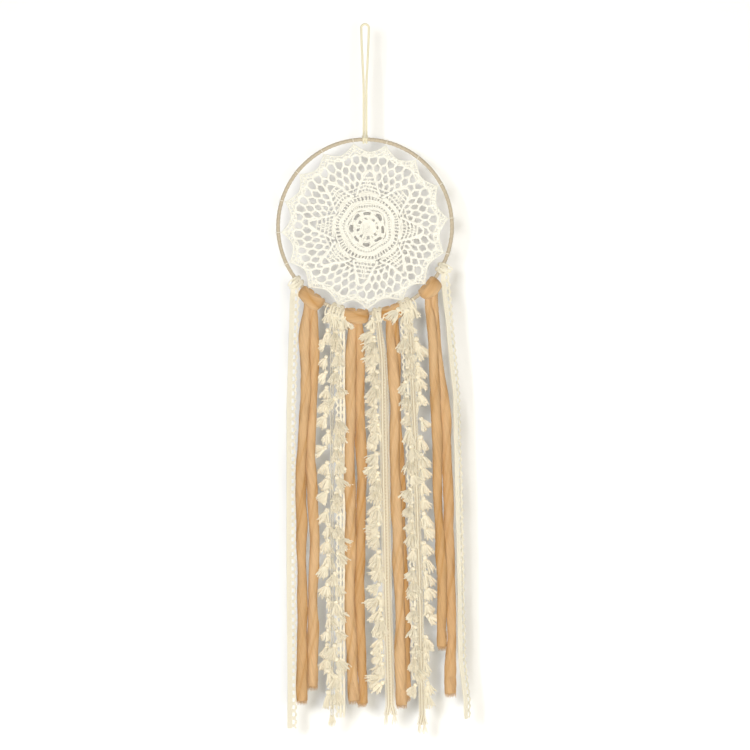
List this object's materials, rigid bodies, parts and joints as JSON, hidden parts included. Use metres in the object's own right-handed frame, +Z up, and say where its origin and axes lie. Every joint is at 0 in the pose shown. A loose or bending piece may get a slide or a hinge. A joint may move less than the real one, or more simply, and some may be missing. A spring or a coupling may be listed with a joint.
{
  "type": "dream catcher",
  "caption": "Hanging wall decoration: a crochet doily tied into a wrapped hoop on a satin cord loop, with long swinging strands of wool, lace and tasselled trim below.",
  "frame": {"origin": "hang point: inside of the top of the cord loop, where it rests on its hook", "axes": "+Z up, +X to the right seen from the front, the front faces -Y and the wall is at +Y"},
  "size_m": [0.2168, 0.0278, 0.7985],
  "materials": {
    "satin_cord": "satin",
    "steel_wire": "bare wire",
    "hoop_tape": "matt wound tape",
    "crochet_cotton": "matt twisted yarn",
    "cotton_lace": "matt lace",
    "fringe_cotton": "soft threads",
    "binding_thread": "matt thread",
    "wool_roving": "soft fibrous wool"
  },
  "bodies": {
    "hanger": {"hanger_cord": "satin_cord"},
    "hanger_tie": {"hanger_knot": "satin_cord"},
    "hoop": {"hoop_ring": "steel_wire", "hoop_wrap": "hoop_tape", "doily": "crochet_cotton", "doily_lashings": "crochet_cotton", "lace_left_knot": "cotton_lace", "wool_1_knot": "wool_roving", "fringe_1_knot": "fringe_cotton", "wool_2_knot": "wool_roving", "fringe_2_knot": "fringe_cotton", "wool_3_knot": "wool_roving", "fringe_3_knot": "fringe_cotton", "wool_4_knot": "wool_roving", "lace_right_knot": "cotton_lace"},
    "lace_left_strand": {"lace_left": "cotton_lace"},
    "wool_1_strand": {"wool_1": "wool_roving"},
    "fringe_1_strand": {"fringe_1_braid": "fringe_cotton", "fringe_1_tassels_left": "fringe_cotton", "fringe_1_ties_left": "binding_thread", "fringe_1_tassels_right": "fringe_cotton", "fringe_1_ties_right": "binding_thread", "inner_lace_left": "cotton_lace"},
    "wool_2_strand": {"wool_2": "wool_roving"},
    "fringe_2_strand": {"fringe_2_braid": "fringe_cotton", "fringe_2_tassels_front": "fringe_cotton", "fringe_2_ties_front": "binding_thread", "fringe_2_tassels_back": "fringe_cotton", "fringe_2_ties_back": "binding_thread"},
    "wool_3_strand": {"wool_3": "wool_roving"},
    "fringe_3_strand": {"fringe_3_braid": "fringe_cotton", "fringe_3_tassels_front": "fringe_cotton", "fringe_3_ties_front": "binding_thread", "fringe_3_tassels_back": "fringe_cotton", "fringe_3_ties_back": "binding_thread", "inner_lace_right": "cotton_lace"},
    "wool_4_strand": {"wool_4": "wool_roving"},
    "lace_right_strand": {"lace_right": "cotton_lace"}
  },
  "joints": [
    {"name": "hoop_turn", "type": "hinge", "parent": "hanger", "child": "hanger_tie", "pos_m": [0, 0, -0.1186], "axis": [0, 0, 1], "range_deg": [-180, 180]},
    {"name": "hoop_tilt", "type": "hinge", "parent": "hanger_tie", "child": "hoop", "pos_m": [0, 0, -0.12825], "axis": [1, 0, 0], "range_deg": [-45, 45]},
    {"name": "lace_left_swing", "type": "hinge", "parent": "hoop", "child": "lace_left_strand", "pos_m": [-0.07895, 0, -0.29973], "axis": [1, 0, 0], "range_deg": [-45, 45]},
    {"name": "wool_1_swing", "type": "hinge", "parent": "hoop", "child": "wool_1_strand", "pos_m": [-0.06196, 0, -0.32184], "axis": [1, 0, 0], "range_deg": [-45, 45]},
    {"name": "fringe_1_swing", "type": "hinge", "parent": "hoop", "child": "fringe_1_strand", "pos_m": [-0.03637, 0, -0.33426], "axis": [1, 0, 0], "range_deg": [-45, 45]},
    {"name": "wool_2_swing", "type": "hinge", "parent": "hoop", "child": "wool_2_strand", "pos_m": [-0.01078, 0, -0.33954], "axis": [1, 0, 0], "range_deg": [-45, 45]},
    {"name": "fringe_2_swing", "type": "hinge", "parent": "hoop", "child": "fringe_2_strand", "pos_m": [0.01153, 0, -0.33412], "axis": [1, 0, 0], "range_deg": [-45, 45]},
    {"name": "wool_3_swing", "type": "hinge", "parent": "hoop", "child": "wool_3_strand", "pos_m": [0.03068, 0, -0.33637], "axis": [1, 0, 0], "range_deg": [-45, 45]},
    {"name": "fringe_3_swing", "type": "hinge", "parent": "hoop", "child": "fringe_3_strand", "pos_m": [0.0519, 0, -0.3289], "axis": [1, 0, 0], "range_deg": [-45, 45]},
    {"name": "wool_4_swing", "type": "hinge", "parent": "hoop", "child": "wool_4_strand", "pos_m": [0.07461, 0, -0.3112], "axis": [1, 0, 0], "range_deg": [-45, 45]},
    {"name": "lace_right_swing", "type": "hinge", "parent": "hoop", "child": "lace_right_strand", "pos_m": [0.08995, 0, -0.28382], "axis": [1, 0, 0], "range_deg": [-45, 45]}
  ]
}
